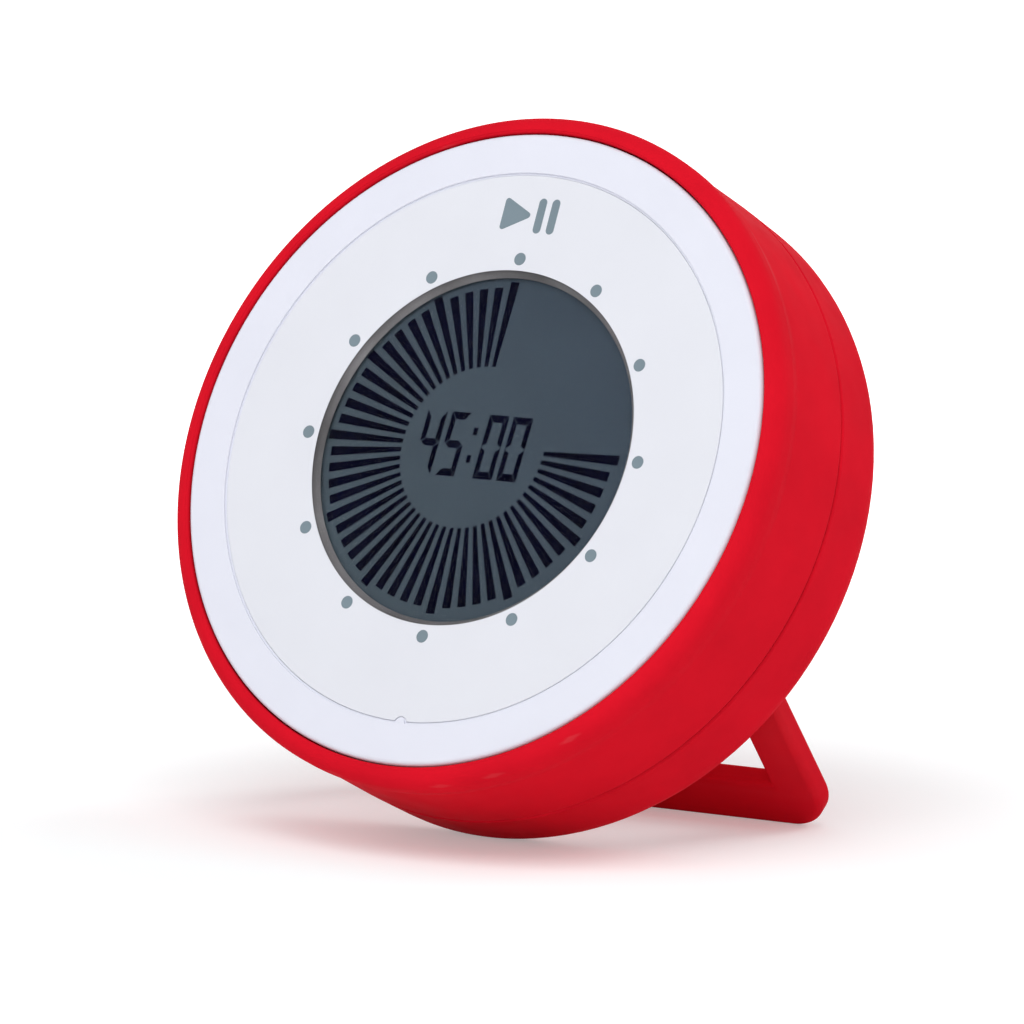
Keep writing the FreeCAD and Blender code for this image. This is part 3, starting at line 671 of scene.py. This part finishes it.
def digit_outlines(mark, left, width):
    """One seven-segment digit with mitred ends and a slight slant."""
    right = left + width
    left_in, right_in = left + DIGIT_SIDE, right - DIGIT_SIDE
    low, high, middle = DIGIT_LOW, DIGIT_HIGH, DIGIT_MIDDLE
    low_in, high_in = low + DIGIT_BAR, high - DIGIT_BAR
    under, over = middle - DIGIT_BAR / 2, middle + DIGIT_BAR / 2
    gap = DIGIT_GAP
    shapes = {
        "a": [(left + gap, high), (right - gap, high), (right_in - gap, high_in), (left_in + gap, high_in)],
        "b": [(right, high - gap), (right, middle + gap), (right_in, over + gap), (right_in, high_in - gap)],
        "c": [(right, low + gap), (right_in, low_in + gap), (right_in, under - gap), (right, middle - gap)],
        "d": [(left + gap, low), (left_in + gap, low_in), (right_in - gap, low_in), (right - gap, low)],
        "e": [(left, low + gap), (left, middle - gap), (left_in, under - gap), (left_in, low_in + gap)],
        "f": [(left, high - gap), (left_in, high_in - gap), (left_in, over + gap), (left, middle + gap)],
        "g": [
            (left + DIGIT_POINT, middle), (left_in + gap, over), (right_in - gap, over),
            (right - DIGIT_POINT, middle), (right_in - gap, under), (left_in + gap, under),
        ],
    }
    return [shifted([(x + y * DIGIT_SLANT, y) for x, y in shapes[key]]) for key in SEGMENT_SETS[mark]]


def time_outlines():
    outlines = []
    for mark, left, width in TIME:
        outlines += digit_outlines(mark, left, width)
    for y in COLON_YS:
        low, high = y - COLON_HALF, y + COLON_HALF
        outlines.append(shifted([
            (COLON_LEFT, low), (COLON_RIGHT, low),
            (COLON_RIGHT + COLON_LEAN, high), (COLON_LEFT + COLON_LEAN, high),
        ]))
    return outlines


film = lathe("display_film", [
    (AXIS_R, FILM_TOP), (FILM_R - FILM_BEVEL, FILM_TOP), (FILM_R, FILM_TOP - FILM_BEVEL),
    (FILM_R, LCD_TOP), (AXIS_R, LCD_TOP),
])
dress(film, display_glass, "case", "display_glass")
rays = prisms("display_rays", ray_outlines(), SEGMENT_LOW, SEGMENT_TOP)
dress(rays, lcd_ink, "case", "display_glass")
digits = prisms("display_digits", time_outlines(), SEGMENT_LOW, SEGMENT_TOP)
dress(digits, lcd_ink, "case", "display_glass")


# Battery door
DOOR_HALF = 24
DOOR_TOP = 4.4
DOOR_LOW = -17.25
TONGUE_HALF = 6.8
TONGUE_LOW = -20.8
DOOR_CORNER = 0.8
DOOR_EDGE = 0.14
GRIP_DEEP = BACK_Z + 0.4
SEAT_DEEP = BACK_Z + 0.8
DOOR_DEEP = BACK_Z + 1.5
GRIP_HALF = 5.6
GRIP_R = 0.4
GRIP_YS = (1.0, -0.6, -2.2)
DOOR_SCREW_Y = -19
SEAT_R = 1.9
SCREW_HOLE_R = 1.0


def on_back(first, second):
    return abs(first.z - BACK_Z) < NEAR and abs(second.z - BACK_Z) < NEAR


def make_door():
    """The cover in layers: finger grooves in the outer one and a stepped seat for its screw."""
    outline = round_corners([
        (-DOOR_HALF, DOOR_TOP), (-DOOR_HALF, DOOR_LOW), (-TONGUE_HALF, DOOR_LOW), (-TONGUE_HALF, TONGUE_LOW),
        (TONGUE_HALF, TONGUE_LOW), (TONGUE_HALF, DOOR_LOW), (DOOR_HALF, DOOR_LOW), (DOOR_HALF, DOOR_TOP),
    ], DOOR_CORNER)
    grooves = [
        arc(GRIP_HALF, y, GRIP_R, -90, 90, 8) + arc(-GRIP_HALF, y, GRIP_R, 90, 270, 8)
        for y in GRIP_YS
    ]
    seat = circle(0, DOOR_SCREW_Y, SEAT_R, 48)
    hole = circle(0, DOOR_SCREW_Y, SCREW_HOLE_R, 36)
    bm = bmesh.new()
    add_prism(bm, outline, BACK_Z, GRIP_DEEP, [*grooves, seat])
    round_creases(bm, DOOR_EDGE, 3, on_back)
    add_prism(bm, outline, GRIP_DEEP, SEAT_DEEP, [seat])
    add_prism(bm, outline, SEAT_DEEP, DOOR_DEEP, [hole])
    return finish_mesh("battery_cover", bm, FACE)


dress(make_door(), red_back, "battery_door", "red_shell", "battery_door")


# Stand, laid out flat: X along the hinge, Y from the hinge to the bar, Z through the thickness
STAND_ANGLE = math.radians(52.0)
STAND_HALF = 32.5
LEG = 6.7
BAR = 7.6
THICK = 3.2
STAND_CORNER = 6
STAND_EDGE = 0.9
HINGE_Y = -16.5
HINGE_Z = BACK_Z + THICK / 2
PIN_HOLE_R = 0.86
KNUCKLE_R = THICK / 2 - 0.005
KNUCKLE_ROUND = 0.3
KNUCKLE_BEND = 0.09
KNUCKLE_SEGMENTS = 64

# Where the hinge stands, and the length at which the bar's rounded edge meets the floor
STAND_BACK = SETBACK + HINGE_Y * math.sin(LEAN) - HINGE_Z * math.cos(LEAN)
STAND_HEIGHT = HEIGHT + HINGE_Y * math.cos(LEAN) + HINGE_Z * math.sin(LEAN)
FOOT_DROP = (THICK / 2 - STAND_EDGE) * math.cos(STAND_ANGLE) + STAND_EDGE
STAND_LENGTH = (STAND_HEIGHT - FOOT_DROP) / math.sin(STAND_ANGLE) + STAND_EDGE
STAND = (
    Matrix.Scale(METRES, 4)
    @ Matrix.Translation((0, STAND_BACK, STAND_HEIGHT))
    @ Matrix.Rotation(-STAND_ANGLE, 4, "X")
)


def along_the_loop(first, second):
    """True for the level edges of the loop, save those at the hinge."""
    level = abs(first.z - second.z) < NEAR
    at_hinge = abs(first.y) < NEAR and abs(second.y) < NEAR
    return level and not at_hinge


def make_stand():
    inner = STAND_HALF - LEG
    corner_x = STAND_HALF - STAND_CORNER
    corner_y = STAND_LENGTH - STAND_CORNER
    outline = [(-inner, 0), (-STAND_HALF, 0)]
    outline += arc(-corner_x, corner_y, STAND_CORNER, 180, 90, 16)
    outline += arc(corner_x, corner_y, STAND_CORNER, 90, 0, 16)
    outline += [(STAND_HALF, 0), (inner, 0)]
    outline += [(inner, STAND_LENGTH - BAR), (-inner, STAND_LENGTH - BAR)]
    bm = bmesh.new()
    add_prism(bm, outline, -THICK / 2, THICK / 2)
    round_creases(bm, STAND_EDGE, 6, along_the_loop)
    for side in (-1, 1):
        add_knuckle(bm, side * (STAND_HALF - LEG / 2), LEG / 2)
    return finish_mesh("fold_out_stand", bm, STAND)


def add_knuckle(bm, x, half):
    """The rounded end of a leg about the hinge line."""
    r, cut, bend = KNUCKLE_R, KNUCKLE_ROUND, KNUCKLE_BEND
    profile = [
        (PIN_HOLE_R, -half), (r - cut, -half), (r - bend, -half + bend), (r, -half + cut),
        (r, half - cut), (r - bend, half - bend), (r - cut, half), (PIN_HOLE_R, half),
    ]
    before = set(bm.verts)
    add_lathe(bm, unpulled(profile), segments=KNUCKLE_SEGMENTS)
    turned = [v for v in bm.verts if v not in before]
    bmesh.ops.rotate(bm, verts=turned, cent=(0, 0, 0), matrix=Matrix.Rotation(math.pi / 2, 3, "Y"))
    bmesh.ops.translate(bm, verts=turned, vec=(x, 0, 0))


dress(make_stand(), red_stand, "stand", "red_stand", "stand")


# Floor and world, in metres. Camera, glossy and transmission rays find them near white, and other
# rays find a plain pale floor and soft light.
FLOOR_SIZE = 4.0
# FLOOR_SEEN is tinted cyan and GLOW_COLOUR warm: painted colour that partly takes the red of the bounce
# light out of the floor's shadow
FLOOR_SEEN = (0.72, 0.80, 0.80, 1)
FLOOR_BOUNCE = (0.92, 0.92, 0.92, 1)
GLOW_COLOUR = (1.0, 0.89, 0.89, 1)
GLOW_NEAR = 0.33
GLOW_FAR = 1.1
GLOW_FROM = 0.06
GLOW_TO = 0.30
AMBIENT = 0.55
AMBIENT_COLOUR = (0.97, 0.98, 1.0, 1)
WHITE = (1, 1, 1, 1)


def seen_rays(tree):
    """One for camera, glossy and transmission rays, and zero for the rest."""
    path = node(tree, "ShaderNodeLightPath")
    seen = combined(tree, "MAXIMUM", path.outputs["Is Camera Ray"], path.outputs["Is Glossy Ray"])
    return combined(tree, "MAXIMUM", seen, path.outputs["Is Transmission Ray"])


def choose_by_ray(tree, output, unseen, seen):
    choice = node(tree, "ShaderNodeMixShader")
    tree.links.new(seen_rays(tree), choice.inputs[0])
    tree.links.new(unseen.outputs[0], choice.inputs[1])
    tree.links.new(seen.outputs[0], choice.inputs[2])
    tree.links.new(choice.outputs[0], output.inputs[0])


def make_floor():
    """A matte floor that glows more with distance, so that only the shadow near the object shows."""
    bm = bmesh.new()
    bmesh.ops.create_grid(bm, x_segments=1, y_segments=1, size=FLOOR_SIZE)
    floor = finish_mesh("floor", bm, Matrix.Identity(4))
    material = bpy.data.materials.new("floor_white")
    material.use_nodes = True
    tree = material.node_tree
    tree.nodes.clear()
    output = node(tree, "ShaderNodeOutputMaterial")
    matte = node(tree, "ShaderNodeBsdfDiffuse")
    matte.inputs["Color"].default_value = FLOOR_SEEN
    bounce = node(tree, "ShaderNodeBsdfDiffuse")
    bounce.inputs["Color"].default_value = FLOOR_BOUNCE
    glow = node(tree, "ShaderNodeEmission")
    glow.inputs["Color"].default_value = GLOW_COLOUR
    coords = node(tree, "ShaderNodeTexCoord")
    away = node(tree, "ShaderNodeVectorMath", operation="LENGTH")
    tree.links.new(coords.outputs["Object"], away.inputs[0])
    strength = ranged(tree, away.outputs["Value"], GLOW_FROM, GLOW_TO, GLOW_NEAR, GLOW_FAR)
    tree.links.new(strength, glow.inputs["Strength"])
    both = node(tree, "ShaderNodeAddShader")
    tree.links.new(matte.outputs[0], both.inputs[0])
    tree.links.new(glow.outputs[0], both.inputs[1])
    choose_by_ray(tree, output, bounce, both)
    floor.data.materials.append(material)


def background(tree, colour, strength):
    made = node(tree, "ShaderNodeBackground")
    made.inputs["Color"].default_value = colour
    made.inputs["Strength"].default_value = strength
    return made


def make_world():
    world = bpy.data.worlds.new("surround")
    bpy.context.scene.world = world
    world.use_nodes = True
    tree = world.node_tree
    tree.nodes.clear()
    output = node(tree, "ShaderNodeOutputWorld")
    soft = background(tree, AMBIENT_COLOUR, AMBIENT)
    white = background(tree, WHITE, 1.0)
    choose_by_ray(tree, output, soft, white)


make_floor()
make_world()


# Lamps: name, place, size and power, all of them aimed at the middle of the object
AIM = Vector((0, 0, 0.045))
LAMPS = (
    ("key", (0.22, -0.45, 0.75), (0.55, 0.55), 3.2),
    ("rim", (0.42, 0.62, 0.45), (0.4, 0.4), 1.8),
    ("fill", (-0.45, -0.62, 0.45), (0.6, 0.6), 1.0),
    ("low", (0.55, -0.75, 0.12), (0.5, 0.2), 0.9),
)


def make_lamp(name, place, size, power):
    data = bpy.data.lights.new(name, "AREA")
    data.shape = "RECTANGLE"
    data.size, data.size_y = size
    data.energy = power
    lamp = bpy.data.objects.new(name, data)
    lamp.location = place
    lamp.rotation_mode = "QUATERNION"
    lamp.rotation_quaternion = (AIM - Vector(place)).to_track_quat("-Z", "Y")
    bpy.context.scene.collection.objects.link(lamp)


for lamp_values in LAMPS:
    make_lamp(*lamp_values)


# Camera at the photograph's viewing angle
CAMERA_PLACE = (0.7196, -1.0502, 0.2236)
CAMERA_RIGHT = Vector((0.8241, 0.5664, 0.0)).normalized()
CAMERA_UP = Vector((-0.0804, 0.1170, 0.9899)).normalized()
LENS = 353.7
SENSOR = 36.0
CLIP_START = 0.05


def make_camera():
    data = bpy.data.cameras.new("camera")
    data.sensor_width = SENSOR
    data.lens = LENS
    data.clip_start = CLIP_START
    camera = bpy.data.objects.new("camera", data)
    camera.rotation_mode = "QUATERNION"
    camera.location = CAMERA_PLACE
    away = CAMERA_RIGHT.cross(CAMERA_UP).normalized()
    turned = Matrix((CAMERA_RIGHT, CAMERA_UP, away)).transposed()
    camera.rotation_quaternion = turned.to_quaternion()
    bpy.context.scene.collection.objects.link(camera)
    bpy.context.scene.camera = camera


make_camera()
bpy.context.scene.view_settings.view_transform = "Standard"
